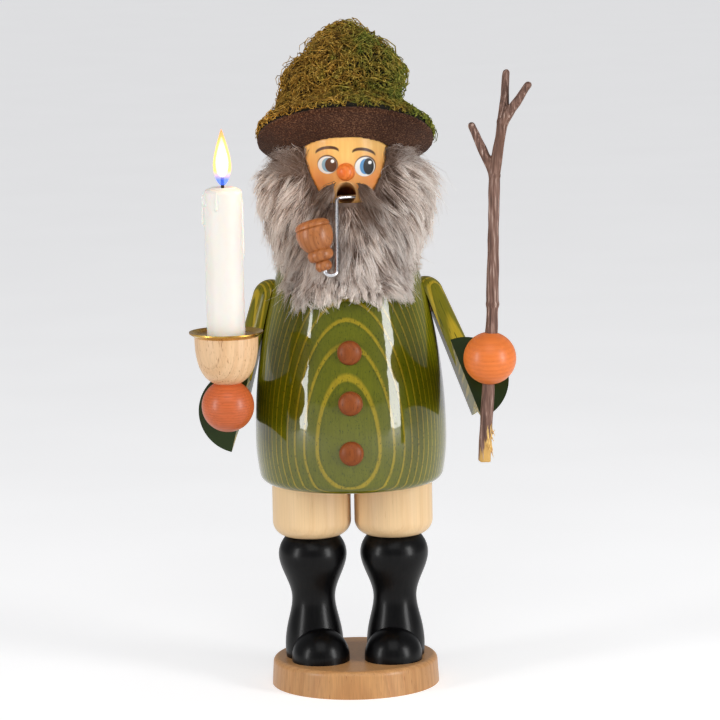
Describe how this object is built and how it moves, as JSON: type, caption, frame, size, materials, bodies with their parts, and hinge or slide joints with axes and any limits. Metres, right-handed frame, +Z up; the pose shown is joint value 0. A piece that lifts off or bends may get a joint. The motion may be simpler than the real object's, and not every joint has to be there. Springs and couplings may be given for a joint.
{
  "type": "incense smoker figure",
  "caption": "Turned wooden gnome that smokes an incense cone: the hollow body lifts off the legs, smoke leaves by the mouth, with a fur beard, mossy hat, pipe, twig and candle.",
  "frame": {"origin": "centre of the round base's underside, which rests on the table", "axes": "+Z up, -Y to the front where the face looks, +X to the viewer's right with the twig"},
  "size_m": [0.1528, 0.1094, 0.3006],
  "materials": {
    "green_stain": "gloss lacquer over green stain",
    "maple": "clear satin lacquer",
    "beech": "clear satin lacquer",
    "black_lacquer": "black gloss lacquer",
    "skin_lacquer": "painted, satin lacquer",
    "red_stain": "orange-red gloss stain",
    "brown_stain": "red-brown gloss stain",
    "dowel": "raw",
    "bark": "natural bark",
    "felt": "pressed felt",
    "moss": "dried moss",
    "fur": "natural fur",
    "wick": "charred cotton",
    "wire": "drawn wire",
    "brass": "polished",
    "tray": "pressed sheet",
    "wax": "white wax"
  },
  "bodies": {
    "stand": {"base_plate": "beech", "boot_left": "black_lacquer", "boot_right": "black_lacquer", "toe_cap_left": "black_lacquer", "toe_cap_right": "black_lacquer", "trouser_left": "maple", "trouser_right": "maple", "hip_plug": "beech", "leg_dowels": "dowel", "incense_tray": "tray", "tray_nail": "tray"},
    "figure": {"body": "green_stain", "button_lowest": "brown_stain", "button_middle": "brown_stain", "button_top": "brown_stain", "upper_arm_left": "green_stain", "upper_arm_right": "green_stain", "forearm_left": "green_stain", "forearm_right": "green_stain", "shoulder_dowels": "dowel", "elbow_dowels": "dowel", "wrist_dowels": "dowel", "hand_left": "red_stain", "hand_right": "red_stain", "candle_cup": "beech", "cup_dowel": "dowel", "drip_pan": "brass", "twig": "bark", "head": "skin_lacquer", "nose": "red_stain", "moustache_left": "fur", "moustache_right": "fur", "fur_beard": "fur", "fur_hair": "fur", "hat_felt": "felt", "hat_moss": "moss"},
    "candle": {"candle": "wax", "wick": "wick"},
    "pipe": {"pipe_stem": "wire", "pipe_bowl": "brown_stain"}
  },
  "joints": [
    {"name": "figure_lift", "type": "slide", "parent": "stand", "child": "figure", "axis": [0, 0, 1], "range_m": [0, 0.06]},
    {"name": "candle_lift", "type": "slide", "parent": "figure", "child": "candle", "axis": [0, 0, 1], "range_m": [0, 0.03]},
    {"name": "pipe_swing", "type": "hinge", "parent": "figure", "child": "pipe", "pos_m": [0.0068, -0.0157, 0.2265], "axis": [-0.9135, -0.4067, 0], "range_deg": [0, 40]}
  ]
}
